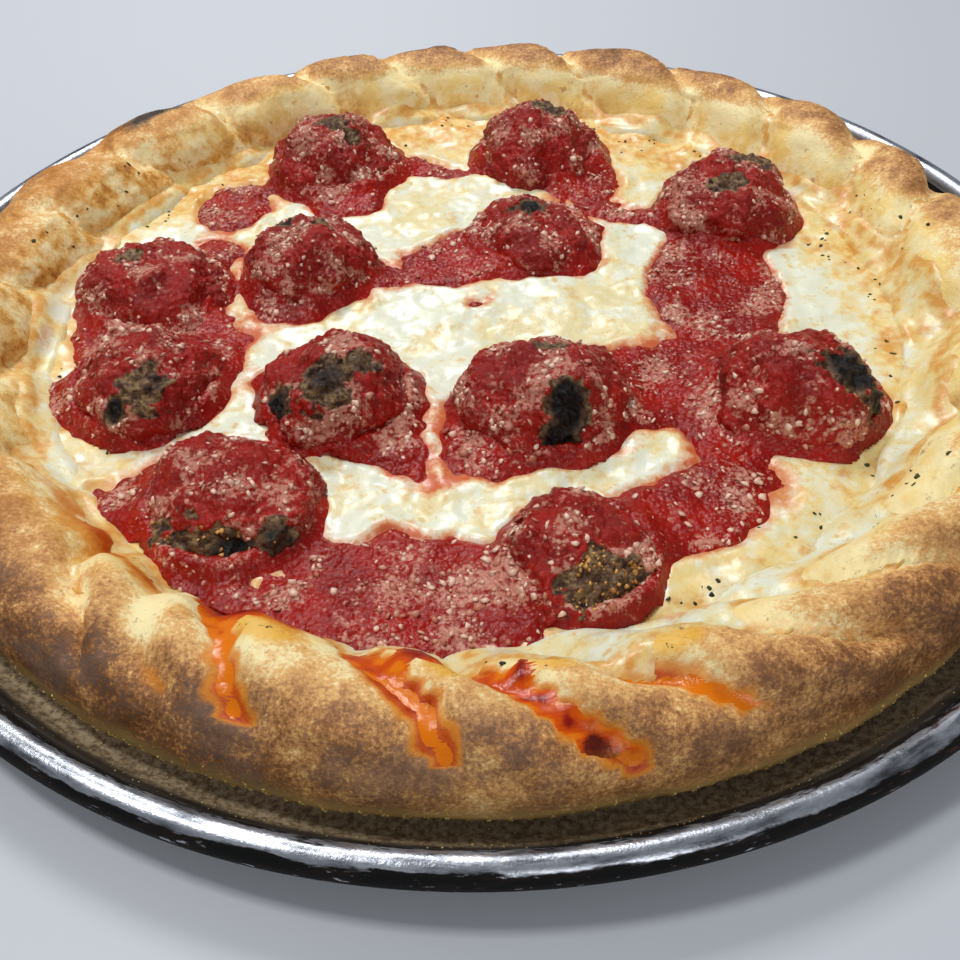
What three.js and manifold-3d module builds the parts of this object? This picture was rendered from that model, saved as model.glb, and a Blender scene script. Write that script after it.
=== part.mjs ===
// Deep dish pizza with meatballs, in its round steel pan.
// Millimetres, +Z up, the origin under the middle of the pan, the near edge of the pizza towards -Y.

import * as THREE from 'three';
import { mergeVertices } from 'three/addons/utils/BufferGeometryUtils.js';
import Module from 'manifold-3d';

const wasm = await Module();
wasm.setup();

// ---- Driving dimensions ----

const PAN_RADIUS = 203; // outside of the rolled bead, a 16 inch pan
const SHEET = 1.4; // thickness of the pan's steel
const BEAD_RADIUS = 4;
const BEAD_CENTRE_HEIGHT = 13.5;
const FLOOR_RADIUS = 186; // where the flat underside of the pan ends
const WALL_SLOPE = THREE.MathUtils.degToRad(55); // from the horizontal
const PAN_SEGMENTS = 48;

const GAP = 0.3; // running gap between pieces that touch
const CRUST_BOTTOM = SHEET + GAP;
const BASE_TOP = 6; // top of the dough under the cheese
const CHEESE_BOTTOM = BASE_TOP + GAP;
const CHEESE_TOP = 10;
const CHEESE_RADIUS = 141.6; // at the foot of the crust
const CHEESE_CLIMB = 1.4; // how far the cheese leans out onto the crust

const RIM_HEART = [165, 16]; // radius and height of the middle of the rim's section
const GROOVE_DEPTH = 4.4; // of an ordinary crease between two folds
const LOBE_RISE = 2; // how far a fold puffs up between its creases
const GROOVE_TWIST = THREE.MathUtils.degToRad(7); // a crease's sweep, inner foot to outer wall
const LUMP_SIZE = 0.05; // of a meatball's unevenness, as a share of its radius
const MEATBALL_SINK = 2; // how deep a meatball sits in the cheese
const POOL_SINK = 1.3; // how deep a pool of sauce lies in the cheese
const POOL_RISE = 1.1; // how far it stands above the cheese
const POOL_SEGMENTS = 16;
const CHEESE_SEGMENTS = 48;

// Creases of the rolled rim, in degrees anticlockwise from +X, with their depth
// as a share of GROOVE_DEPTH.
const CREASES = [
  [12, 1], [26, 0.8], [42, 1], [58, 0.9], [73, 1], [88, 1], [102, 0.9], [115, 1],
  [133, 0.8], [152, 0.9], [169, 1], [185, 1], [200, 0.9], [215, 1], [230, 1.5], [246, 1.2],
  [262, 1.1], [272, 1.6], [282, 1.1], [294, 1], [306, 0.5], [320, 0.7], [336, 1], [353, 0.9],
];

// One half of the rim's section, from the underside to the foot inside: radius, height,
// how strongly a crease bites there, and how strongly a fold puffs up there.
const CRUST_SECTION = [
  [177, CRUST_BOTTOM, 0, 0],
  [183, 3.6, 0, 0],
  [185.5, 9, 0.03, 0.1],
  [184.8, 16.5, 0.18, 0.3],
  [181, 24, 0.5, 0.7],
  [174.5, 29, 0.9, 1],
  [167, 30.6, 1, 1],
  [160.5, 28.6, 1, 0.8],
  [155, 23, 0.85, 0.5],
  [150.5, 16.5, 0.6, 0.2],
  [146.6, 10.8, 0.2, 0],
  [143, BASE_TOP, 0, 0],
];

// Meatballs: x, y, radius on the cheese, height above it.
const MEATBALLS = [
  [-58, 100, 26, 20],
  [27, 108, 26, 21],
  [-116, 10, 24, 18],
  [-60, 22, 22, 20],
  [20, 40, 22, 14],
  [98, 58, 26, 22],
  [97, -52, 26, 22],
  [20, -54, 25, 20],
  [-44, -50, 23, 20],
  [-106, -42, 24, 18],
  [-71, -95, 24, 16],
  [26, -116, 22, 14],
];

// Pools of tomato sauce that lie in the cheese: x, y, half length, half width, turn in degrees.
const SAUCE_POOLS = [
  [-52, 71, 24, 12, 10],
  [-97, 71, 15, 19, 0],
  [-108, -14, 27, 22, -60],
  [4, 30, 44, 25, 10],
  [86, 14, 22, 29, -10],
  [59, -42, 21, 28, 5],
  [58, -99, 27, 16, 15],
  [-20, -118, 24, 19, 10],
];

// ---- Shared forms ----

function toSolid(geometry) {
  const bare = geometry.index ? geometry.toNonIndexed() : geometry.clone();
  bare.deleteAttribute('normal');
  bare.deleteAttribute('uv');
  const merged = mergeVertices(bare, 1e-4);
  return new wasm.Manifold(new wasm.Mesh({
    numProp: 3,
    vertProperties: new Float32Array(merged.attributes.position.array),
    triVerts: new Uint32Array(merged.index.array),
  }));
}

function toGeometry(solid) {
  const mesh = solid.getMesh();
  const geometry = new THREE.BufferGeometry();
  geometry.setAttribute('position', new THREE.BufferAttribute(mesh.vertProperties, 3));
  geometry.setIndex(new THREE.BufferAttribute(mesh.triVerts, 1));
  return geometry;
}

function named(name, geometry, colour, roughness, metalness = 0) {
  const faceted = geometry.index ? geometry.toNonIndexed() : geometry;
  faceted.computeVertexNormals();
  const mesh = new THREE.Mesh(faceted, new THREE.MeshStandardMaterial({
    color: colour, roughness, metalness, flatShading: true,
  }));
  mesh.name = name;
  return mesh;
}

// A lathe turned so that its axis is +Z.
function turned(profile, segments) {
  const points = profile.map(([radius, height]) => new THREE.Vector2(radius, height));
  return new THREE.LatheGeometry(points, segments).rotateX(Math.PI / 2);
}

function reshape(geometry, move) {
  const position = geometry.attributes.position;
  const point = new THREE.Vector3();
  for (let i = 0; i < position.count; i += 1) {
    move(point.fromBufferAttribute(position, i));
    position.setXYZ(i, point.x, point.y, point.z);
  }
  return geometry;
}

function arc(centreX, centreY, radius, from, to, steps) {
  return Array.from({ length: steps + 1 }, (_, i) => {
    const angle = THREE.MathUtils.degToRad(from + (to - from) * i / steps);
    return [centreX + radius * Math.cos(angle), centreY + radius * Math.sin(angle)];
  });
}

// ---- Pan ----

// Flat floor, a rounded cove, a sloping wall and a rolled bead, from one sheet of steel.
function makePan() {
  const beadX = PAN_RADIUS - BEAD_RADIUS;
  const coveRadius = 5;
  const slope = THREE.MathUtils.radToDeg(WALL_SLOPE);
  const outside = arc(FLOOR_RADIUS, coveRadius, coveRadius, -90, -90 + slope, 2);
  const inside = arc(FLOOR_RADIUS, coveRadius, coveRadius - SHEET, -90 + slope, -90, 2);
  const bead = arc(beadX, BEAD_CENTRE_HEIGHT, BEAD_RADIUS, -150, 150, 10);
  return turned([[0, 0], ...outside, ...bead, ...inside, [0, SHEET]], PAN_SEGMENTS);
}

// ---- Crust ----

// Columns of the crust's mesh: five to a fold, with three of them close round its crease.
// A share is how far round the fold a column stands; the wider the fold, the more it puffs up.
function crustColumns() {
  const shares = [0, 0.13, 0.36, 0.64, 0.87];
  const bite = [1, 0.42, 0, 0, 0.42];
  const puff = [0, 0.45, 1, 1, 0.45];
  const fullWidth = 60;
  const columns = [];
  CREASES.forEach(([start, depth], fold) => {
    const [next, nextDepth] = CREASES[(fold + 1) % CREASES.length];
    const width = (next - start + 360) % 360;
    shares.forEach((share, i) => {
      columns.push({
        angle: THREE.MathUtils.degToRad(start + width * share),
        bite: bite[i] * (share < 0.5 ? depth : nextDepth),
        puff: puff[i] * (0.75 + width / fullWidth + 0.25 * Math.sin(fold * 2.4)),
      });
    });
  });
  return columns;
}

// The dough in one piece: the base under the cheese and the rim, rolled over in folds.
function makeCrust() {
  const columns = crustColumns();
  const innerRadius = CRUST_SECTION.at(-1)[0];
  const outerRadius = CRUST_SECTION[2][0];
  const heart = new THREE.Vector2(...RIM_HEART);
  const vertices = [0, 0, CRUST_BOTTOM, 0, 0, BASE_TOP];
  columns.forEach(({ angle, bite, puff }) => {
    CRUST_SECTION.forEach(([radius, height, biteShare, puffShare]) => {
      const outwards = new THREE.Vector2(radius, height).sub(heart).normalize();
      const point = new THREE.Vector2(radius, height)
        .addScaledVector(outwards, -bite * biteShare * GROOVE_DEPTH)
        .add(new THREE.Vector2(0, puff * puffShare * LOBE_RISE));
      const reach = (radius - innerRadius) / (outerRadius - innerRadius);
      const swept = angle + GROOVE_TWIST * (reach - 0.5);
      vertices.push(point.x * Math.cos(swept), point.x * Math.sin(swept), point.y);
    });
  });
  const rows = CRUST_SECTION.length;
  const at = (column, row) => 2 + (column % columns.length) * rows + row;
  const faces = [];
  columns.forEach((_, column) => {
    faces.push(0, at(column + 1, 0), at(column, 0));
    faces.push(1, at(column, rows - 1), at(column + 1, rows - 1));
    for (let row = 0; row < rows - 1; row += 1) {
      faces.push(at(column, row), at(column + 1, row), at(column + 1, row + 1));
      faces.push(at(column, row), at(column + 1, row + 1), at(column, row + 1));
    }
  });
  const geometry = new THREE.BufferGeometry();
  geometry.setAttribute('position', new THREE.Float32BufferAttribute(vertices, 3));
  geometry.setIndex(faces);
  return geometry;
}

// ---- Meatballs ----

// A lumpy dome with a flat foot, grown by a margin when it serves as a cutter.
function makeMeatball([x, y, radius, height], seed, margin = 0) {
  return reshape(new THREE.IcosahedronGeometry(1, 2), (point) => {
    const broad = Math.sin(3 * point.x + seed) * Math.cos(4 * point.y - 2 * seed);
    const fine = Math.sin(6 * point.z + 3 * point.x + 5 * seed);
    const lump = 1 + LUMP_SIZE * (broad + 0.6 * fine);
    const foot = CHEESE_TOP - MEATBALL_SINK - margin;
    point.set(
      x + point.x * (radius * lump + margin),
      y + point.y * (radius * lump + margin),
      CHEESE_TOP + (point.z > 0 ? point.z * (height * lump + margin) : point.z),
    );
    if (point.z < CHEESE_TOP) {
      point.z = foot;
    }
  });
}

// ---- Sauce and cheese ----

// A flat puddle with a wavy outline and a rounded edge.
function makePool([x, y, length, width, turn], seed, margin = 0) {
  const top = CHEESE_TOP + POOL_RISE + margin;
  const bottom = CHEESE_TOP - POOL_SINK - margin;
  const profile = [[0, bottom], [0.9, bottom], [1, CHEESE_TOP], [0.86, top], [0, top]];
  const angle = THREE.MathUtils.degToRad(turn);
  return reshape(turned(profile, POOL_SEGMENTS), (point) => {
    const bearing = Math.atan2(point.y, point.x);
    const wave = 1 + 0.07 * Math.sin(3 * bearing + seed) + 0.05 * Math.sin(5 * bearing + 2 * seed);
    const along = point.x * (length * wave + margin);
    const across = point.y * (width * wave + margin);
    point.x = x + along * Math.cos(angle) - across * Math.sin(angle);
    point.y = y + along * Math.sin(angle) + across * Math.cos(angle);
  });
}

// The sheet of melted cheese, nearly flat, that leans out onto the foot of the crust.
function makeCheeseSheet() {
  const rim = CHEESE_RADIUS + CHEESE_CLIMB;
  const edgeWidth = 3;
  const edgeDrop = 0.4;
  const profile = [
    [0, CHEESE_BOTTOM], [CHEESE_RADIUS, CHEESE_BOTTOM], [rim, CHEESE_TOP - edgeDrop],
    [rim - edgeWidth, CHEESE_TOP], [0, CHEESE_TOP],
  ];
  return turned(profile, CHEESE_SEGMENTS);
}

// ---- Assembly ----

const pizza = new THREE.Group();
pizza.add(named('pan', makePan(), 0x55504b, 0.45, 0.8));
pizza.add(named('crust', makeCrust(), 0xc99552, 0.75));

const ballCutters = MEATBALLS
  .map((ball, i) => toSolid(makeMeatball(ball, i, GAP)))
  .reduce((all, one) => all.add(one));
const pools = SAUCE_POOLS.map((pool, i) => toSolid(makePool(pool, i)).subtract(ballCutters));
const poolCutters = SAUCE_POOLS
  .map((pool, i) => toSolid(makePool(pool, i, GAP)))
  .reduce((all, one) => all.add(one));
const cheese = toSolid(makeCheeseSheet()).subtract(ballCutters).subtract(poolCutters);
pizza.add(named('cheese', toGeometry(cheese), 0xefdca0, 0.4));

const twoDigits = (index) => String(index + 1).padStart(2, '0');
pools.forEach((pool, i) => {
  pizza.add(named(`sauce_pool_${twoDigits(i)}`, toGeometry(pool), 0x8f1f12, 0.3));
});
MEATBALLS.forEach((ball, i) => {
  pizza.add(named(`meatball_${twoDigits(i)}`, makeMeatball(ball, i), 0x7a2418, 0.45));
});

export default pizza;
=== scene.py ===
import math
from functools import partial

import bpy
import numpy as np
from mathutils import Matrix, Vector
from mathutils import noise as perlin


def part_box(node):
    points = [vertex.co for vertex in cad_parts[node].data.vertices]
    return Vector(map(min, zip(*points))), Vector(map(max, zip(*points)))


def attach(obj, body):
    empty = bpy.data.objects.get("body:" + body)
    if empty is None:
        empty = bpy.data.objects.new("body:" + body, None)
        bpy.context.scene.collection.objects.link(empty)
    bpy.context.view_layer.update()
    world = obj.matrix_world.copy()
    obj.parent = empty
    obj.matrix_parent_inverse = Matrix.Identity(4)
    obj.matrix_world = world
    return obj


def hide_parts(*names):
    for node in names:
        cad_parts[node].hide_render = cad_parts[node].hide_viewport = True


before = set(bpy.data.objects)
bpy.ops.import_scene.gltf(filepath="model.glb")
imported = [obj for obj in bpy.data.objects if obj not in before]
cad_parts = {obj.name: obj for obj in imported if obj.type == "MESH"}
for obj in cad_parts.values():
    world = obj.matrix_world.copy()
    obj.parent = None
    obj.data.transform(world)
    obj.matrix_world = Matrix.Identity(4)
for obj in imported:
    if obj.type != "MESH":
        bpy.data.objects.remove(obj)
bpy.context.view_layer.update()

# A deep dish pizza in its round steel pan. Shapes are worked out in millimetres with z up
# and are written to the meshes in metres. The near edge of the pizza lies towards -Y.

MM = 0.001
TURN = 2 * math.pi


def box_mm(node):
    """The lowest and highest corners of a CAD node in millimetres."""
    low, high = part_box(node)
    return np.array(low) / MM, np.array(high) / MM


def numbered(word):
    """The CAD nodes whose names start with a word, in order."""
    return sorted(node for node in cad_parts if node.startswith(word))


PAN_RADIUS = box_mm("pan")[1][0]
RIM_TOP = box_mm("crust")[1][2]
CHEESE_TOP = box_mm("cheese")[1][2]
CHEESE_BOTTOM = box_mm("cheese")[0][2]

# ---------- hand tools


def deselect():
    bpy.ops.object.select_all(action="DESELECT")


def edit_mode(piece, kind="FACE"):
    deselect()
    piece.select_set(True)
    bpy.context.view_layer.objects.active = piece
    bpy.ops.object.mode_set(mode="EDIT")
    bpy.ops.mesh.select_mode(type=kind)


def pick(action):
    bpy.ops.mesh.select_all(action=action)


def object_mode():
    bpy.ops.object.mode_set(mode="OBJECT")


def points_of(piece):
    """The piece's vertices in millimetres."""
    flat = np.empty(len(piece.data.vertices) * 3)
    piece.data.vertices.foreach_get("co", flat)
    return flat.reshape(-1, 3) / MM


def move_points(piece, points):
    piece.data.vertices.foreach_set("co", (points * MM).ravel())
    piece.data.update()


def normals_of(piece):
    flat = np.empty(len(piece.data.vertices) * 3)
    piece.data.vertices.foreach_get("normal", flat)
    return flat.reshape(-1, 3)


def paint(piece, name, values):
    """Keeps a number on each vertex for the material to read."""
    layer = piece.data.attributes.new(name, "FLOAT", "POINT")
    layer.data.foreach_set("value", np.asarray(values, np.float32))


def settle(piece, name, material, slot, *nodes):
    """Names and smooths a finished piece, which rides with the pan in place of its CAD nodes."""
    piece.name = name
    piece.data.name = name
    piece.data.materials.clear()
    piece.data.materials.append(material)
    piece.data.shade_smooth()
    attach(piece, "root")
    if nodes:
        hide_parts(*nodes)
    deselect()
    return piece


def noise(points, size, seed=0):
    """Smooth noise, about -1 to 1, with bumps about as wide as size."""
    places = points / size + (seed * 13.7, seed * 5.1, seed * 9.3)
    return np.array([perlin.noise(place) for place in places.tolist()]) * 1.6


def cells(points, size, seed=0):
    """Distance to the nearest of the scattered cell centres, about 0 to 1."""
    places = points / size + (seed * 7.7, seed * 3.9, seed * 11.1)
    return np.array([perlin.voronoi(place)[0][0] for place in places.tolist()])


def smooth_step(low, high, values):
    share = np.clip((values - low) / (high - low), 0, 1)
    return share * share * (3 - 2 * share)


def bell(off, width):
    """1 where off is nothing, falling away to nothing at either side of it."""
    return np.exp(-((off / width) ** 2))


def flat_points(x, y):
    return np.stack([x, y, np.zeros_like(x)], axis=1)


def smooth_through(knots, shares):
    """Values at the given shares of a smooth open line through the knots."""
    knots = np.array(knots, float)
    steps = np.linalg.norm(np.diff(knots[:, :2], axis=0), axis=1)
    at = np.concatenate([[0], np.cumsum(steps)]) / steps.sum()
    slopes = np.gradient(knots, at, axis=0)
    i = np.clip(np.searchsorted(at, shares, side="right") - 1, 0, len(at) - 2)
    width = (at[i + 1] - at[i])[:, None]
    t = (shares[:, None] - at[i][:, None]) / width
    start = (2 * t**3 - 3 * t**2 + 1) * knots[i] + (t**3 - 2 * t**2 + t) * width * slopes[i]
    end = (3 * t**2 - 2 * t**3) * knots[i + 1] + (t**3 - t**2) * width * slopes[i + 1]
    return start + end


# ---------- shader tools


def tone(red, green, blue):
    """A colour as the eye reads it, 0 to 255, turned into the light that a shader wants."""
    light = []
    for part in (red, green, blue):
        part /= 255
        light.append(part / 12.92 if part <= 0.04045 else ((part + 0.055) / 1.055) ** 2.4)
    return (*light, 1.0)


class Wire:
    """A shader socket that can stand in a Python sum."""

    def __init__(self, finish, socket):
        self.finish = finish
        self.socket = socket

    def maths(self, operation, first, second=0.0):
        return self.finish.node("ShaderNodeMath", {"operation": operation}, {0: first, 1: second})

    def __add__(self, other):
        return self.maths("ADD", self, other)

    __radd__ = __add__

    def __sub__(self, other):
        return self.maths("SUBTRACT", self, other)

    def __rsub__(self, other):
        return self.maths("SUBTRACT", other, self)

    def __mul__(self, other):
        return self.maths("MULTIPLY", self, other)

    __rmul__ = __mul__

    def either(self, other):
        """The larger of the two."""
        return self.maths("MAXIMUM", self, other)

    def ramp(self, low, high):
        """0 below low and 1 above high, with a soft way between."""
        ends = {"Value": self, "From Min": low, "From Max": high}
        return self.finish.node("ShaderNodeMapRange", {"interpolation_type": "SMOOTHSTEP"}, ends)


class Finish:
    """One material, built round its Principled shader."""

    def __init__(self, name, constants=None):
        self.material = bpy.data.materials.new(name)
        self.material.use_nodes = True
        self.tree = self.material.node_tree
        self.shader = self.tree.nodes["Principled BSDF"]
        self.place = self.node("ShaderNodeTexCoord", output="Object")
        self.plug_all(constants or {}, self.shader)

    def node(self, kind, settings=None, inputs=None, output=0):
        made = self.tree.nodes.new(kind)
        for key, value in (settings or {}).items():
            setattr(made, key, value)
        self.plug_all(inputs or {}, made)
        return Wire(self, made.outputs[output])

    def plug_all(self, values, made):
        for key, value in values.items():
            if isinstance(value, Wire):
                self.tree.links.new(value.socket, made.inputs[key])
            else:
                made.inputs[key].default_value = value

    def painted(self, name):
        """A number kept on the vertices by paint()."""
        return self.node("ShaderNodeAttribute", {"attribute_name": name}, output="Fac")

    def noise(self, size_mm, detail=3.0, roughness=0.55, place=None):
        inputs = {
            "Vector": place or self.place,
            "Scale": 1 / (size_mm * MM),
            "Detail": detail,
            "Roughness": roughness,
        }
        return self.node("ShaderNodeTexNoise", None, inputs)

    def cells(self, size_mm):
        inputs = {"Vector": self.place, "Scale": 1 / (size_mm * MM)}
        return self.node("ShaderNodeTexVoronoi", None, inputs)

    def blend(self, first, second, share):
        inputs = {0: share, 6: first, 7: second}
        return self.node("ShaderNodeMix", {"data_type": "RGBA"}, inputs, output=2)

    def layers(self, colour, *coats):
        """Lays tones over a colour one after another, each with its share."""
        for shade, share in coats:
            colour = self.blend(colour, tone(*shade), share)
        return colour

    def bump(self, height, strength, distance_mm, under=None):
        inputs = {"Height": height, "Strength": strength, "Distance": distance_mm * MM}
        if under is not None:
            inputs["Normal"] = under
        return self.node("ShaderNodeBump", None, inputs)

    def finish(self, links):
        self.plug_all(links, self.shader)
        return self.material


# ---------- the pan

FLOOR_LINE = ((0, 1.4), (60, 1.4), (120, 1.4))  # radius, height along the top of the floor
PAN_WALL = (  # the same from the edge of the floor up to the bead
    (181, 1.4), (184, 1.45), (187.5, 2.3), (190, 4.6), (192.6, 8.2), (194.6, 11.4),
)
PAN_OUTSIDE = (  # and from under the bead down the outside to the middle of the underside
    (195.6, 9.6), (193.6, 6.6), (191.4, 3.6), (189.3, 1.2), (187, 0.25), (184, 0), (120, 0), (0, 0),
)
BEAD_RADIUS = 4
BEAD_HEIGHT = 13.5
PAN_STEPS = 288
STREAK_RING = 44  # the streaks' noise is read on a ring this small, so they are drawn out


def make_pan():
    """One sheet of steel, spun: a flat floor, a cove, a sloping wall and a rolled bead."""
    bead_centre = PAN_RADIUS - BEAD_RADIUS
    wall = smooth_through(PAN_WALL, np.linspace(0, 1, 24))
    inside = np.concatenate([FLOOR_LINE, wall])
    bead = np.radians(np.linspace(168, -132, 22))
    bead_line = np.stack(
        [bead_centre + BEAD_RADIUS * np.cos(bead), BEAD_HEIGHT + BEAD_RADIUS * np.sin(bead)], axis=1
    )
    line = np.concatenate([inside, bead_line, PAN_OUTSIDE])
    section = bpy.data.meshes.new("pan")
    corners = [(radius * MM, 0, height * MM) for radius, height in line]
    section.from_pydata(corners, [(i, i + 1) for i in range(len(corners) - 1)], [])
    pan = bpy.data.objects.new("pan_steel", section)
    bpy.context.scene.collection.objects.link(pan)
    edit_mode(pan, "VERT")
    pick("SELECT")
    bpy.ops.mesh.spin(steps=PAN_STEPS, angle=TURN, center=(0, 0, 0), axis=(0, 0, 1))
    pick("SELECT")
    bpy.ops.mesh.remove_doubles(threshold=0.00002)
    bpy.ops.mesh.normals_make_consistent(inside=False)
    object_mode()

    points = points_of(pan)
    radius = np.hypot(points[:, 0], points[:, 1])
    dents = noise(points, 60, 3) * 0.12 * smooth_step(170, 200, radius)
    points[:, 2] += np.where(points[:, 2] > 1, dents, 0)
    move_points(pan, points)
    paint_streaks(pan, points, radius)
    return settle(pan, "pan_steel", pan_finish(), "pan_steel", "pan")


def paint_streaks(pan, points, radius):
    """Where each point lies over and along the bead, so that wear can run round the rim."""
    round_bead = np.arctan2(points[:, 2] - BEAD_HEIGHT, radius - (PAN_RADIUS - BEAD_RADIUS))
    paint(pan, "over_bead", round_bead)
    paint(pan, "from_middle", radius)
    layer = pan.data.attributes.new("streak_place", "FLOAT_VECTOR", "POINT")
    along = points[:, :2] / np.maximum(radius, 1)[:, None] * STREAK_RING
    across = np.where(radius > PAN_RADIUS - 9, round_bead * BEAD_RADIUS, radius)
    place = np.column_stack([along, across])
    layer.data.foreach_set("vector", (place * MM).astype(np.float32).ravel())


def pan_finish():
    """Worn steel on the bead, baked-on black and brown beside it and a sandy brown floor."""
    steel = Finish("worn_pan_steel", {"Specular IOR Level": 0.2})
    over = steel.painted("over_bead")
    radius = steel.painted("from_middle")
    streak = steel.node("ShaderNodeAttribute", {"attribute_name": "streak_place"}, output="Vector")
    ragged = steel.noise(2.6, 4, 0.6, streak)
    chips = steel.noise(0.9, 3, 0.6, streak)
    blotch = steel.noise(34, 2, 0.5)

    # The top of the bead is bare where pans rub; the wear line wanders round the rim.
    shade = over + (ragged - 0.5) * 1.1 + (blotch - 0.5) * 0.5
    outer_edge = shade.ramp(0.94, 1.12)
    across = steel.node("ShaderNodeSeparateXYZ", None, {0: steel.place}, output="X")
    away = steel.node("ShaderNodeSeparateXYZ", None, {0: steel.place}, output="Y")
    right_side = across.ramp(0.04, 0.16) * (1 - away.ramp(-0.04, 0.04))
    inner_edge = 1 - (shade + (chips - 0.5) * 1.6).ramp(2.0, 2.5)
    inner_edge = inner_edge.either(away.ramp(0.0, 0.06) * 0.9)
    streaks = (chips + (ragged - 0.5) * 0.8).ramp(0.52, 0.62)
    on_bead = radius.ramp(194.4, 195.2)
    bare = on_bead * outer_edge * inner_edge * (1 - (1 - streaks) * right_side * 0.25)
    chipped = on_bead * (1 - outer_edge) * (chips + ragged * 0.5).ramp(0.9, 0.98)
    scuffed = (radius.ramp(192.5, 193.5) - on_bead) * chips.ramp(0.55, 0.66)
    shown = bare.either(chipped).either(scuffed * 0.6)

    rubbed = steel.noise(4, 4, 0.65, streak).ramp(0.32, 0.6)
    silver = steel.blend(tone(84, 86, 92), tone(182, 186, 194), rubbed)
    soot = steel.blend(tone(3, 3, 3), tone(22, 12, 8), ragged.ramp(0.46, 0.62))
    rust = steel.blend(soot, tone(104, 56, 30), chips.ramp(0.56, 0.68) * right_side * 0.8)
    drawn_out = steel.noise(9, 4, 0.6, streak).ramp(0.4, 0.62)
    wall = steel.blend(tone(34, 28, 24), tone(78, 70, 62), drawn_out)
    sandy = steel.noise(1.6, 4, 0.7).ramp(0.35, 0.65)
    floor = steel.blend(tone(126, 104, 78), tone(200, 180, 146), sandy)
    lower = steel.blend(floor, wall, radius.ramp(189.0, 191.5))
    dark_line = radius.ramp(192.8, 194.2)
    base = steel.blend(lower, soot, dark_line)
    base = steel.blend(base, rust, on_bead)
    base = steel.blend(base, silver, shown)
    rough = 0.72 - shown * 0.42
    relief = steel.bump(steel.noise(1.2, 4, 0.7), 0.3, 0.4)
    return steel.finish(
        {"Base Color": base, "Roughness": rough, "Metallic": shown * 0.9, "Normal": relief}
    )


# ---------- the crust

RIM_COLUMNS = 1080
RIM_ROWS = 90
HIDDEN_ROWS = 8
LAST_SHOWN_ROW = RIM_ROWS - HIDDEN_ROWS - 1
GROOVE_DEPTH = 3.6
LOBE_RISE = 3.8
CREST = 165  # the radius at which the creases' angles are given
TOP_EASE = 1.2  # the height under the rim's top over which its folds are levelled off

# Creases of the rolled rim, in degrees anticlockwise from +X: depth as a share of
# GROOVE_DEPTH, and how far down the outside it runs, from 0 at the crest to 1 at the pan.
CREASES = (
    (12, 1.1, 0.2), (26, 0.9, 0.15), (42, 1.1, 0.2), (57, 0.9, 0.15), (74, 1.1, 0.2),
    (88, 1.0, 0.15), (102, 0.9, 0.15), (115, 1.1, 0.2), (133, 0.8, 0.15), (150, 1.0, 0.15),
    (166, 1.0, 0.15), (183, 1.0, 0.2), (199, 0.9, 0.15), (214, 0.7, 0.1), (233.5, 1.3, 0.08),
    (241, 0.4, 0.05), (248.5, 1.2, 0.02), (262.5, 1.2, 0.06), (272.3, 1.5, 0.25),
    (282.5, 1.1, 0.03), (294, 1.1, 0.2), (306, 0.9, 0.2), (320, 1.0, 0.2), (337, 1.0, 0.2),
    (354, 0.9, 0.15),
)

BURNT_PLACE = (141, 168)  # the angle and radius of the scorched spot
# Stains of golden fat, given in the same way.
GILDED_PLACES = ((250, 154), (251.5, 159), (267.5, 160), (275, 158), (285, 160))

FILM_BACK = 1.6  # the thickness of the films that cling to the crust
LIP_ROWS = 36  # how many rows up the crust the clinging cheese can reach

RIM_SECTION = (  # radius, height, how strongly a crease bites, how strongly a fold puffs up
    (177, 2.0, 0, 0), (183, 3.6, 0, 0.05), (185.6, 9, 0.1, 0.15), (184.9, 16.5, 0.4, 0.35),
    (181.3, 23.6, 0.8, 0.75), (174.8, 27.6, 1, 1), (167, 28.8, 1, 1), (160.3, 27.2, 1, 0.9),
    (155, 22.3, 1, 0.9), (150.5, 16.2, 0.9, 0.7), (146.6, 10.6, 0.5, 0.4), (143, 6.2, 0, 0),
)


def rim_section():
    """The rim's closed section: the shown line, then the hidden foot and underside."""
    shown = smooth_through(RIM_SECTION, np.linspace(0, 1, RIM_ROWS - HIDDEN_ROWS))
    foot, edge = shown[-1][0], shown[0][0]
    inner_corner = foot - 1.5
    down = [(inner_corner, 4.0, 0, 0), (inner_corner, 2.0, 0, 0)]
    under = [(radius, 2.0, 0, 0) for radius in np.linspace(inner_corner, edge, 8)[1:-1]]
    return np.concatenate([shown, down, under])


def round_points(radius, angle, height):
    return np.stack([radius * np.cos(angle), radius * np.sin(angle), height], axis=1)


def bump_at(degrees, middle, width):
    """1 at an angle round the rim and falling away to nothing at either side of it."""
    return bell((degrees - middle + 180) % 360 - 180, width)


def fold_places(angle, radius, wander):
    """For each point: the crease before it, the nearest one, the fold's width and its share."""
    starts = np.array([crease[0] for crease in CREASES], float)
    degrees = np.degrees(angle)
    lean = 0.3 + 0.3 * bump_at(degrees, 305, 25)
    turned = degrees - lean * (radius - CREST) + wander
    turned = (turned - starts[0]) % 360 + starts[0]
    lower = np.searchsorted(starts, turned, side="right") - 1
    upper = (lower + 1) % len(starts)
    width = (starts[upper] - starts[lower]) % 360
    share = (turned - starts[lower]) / width
    nearest = np.where(share < 0.5, lower, upper)
    return lower, nearest, width, share


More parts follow.
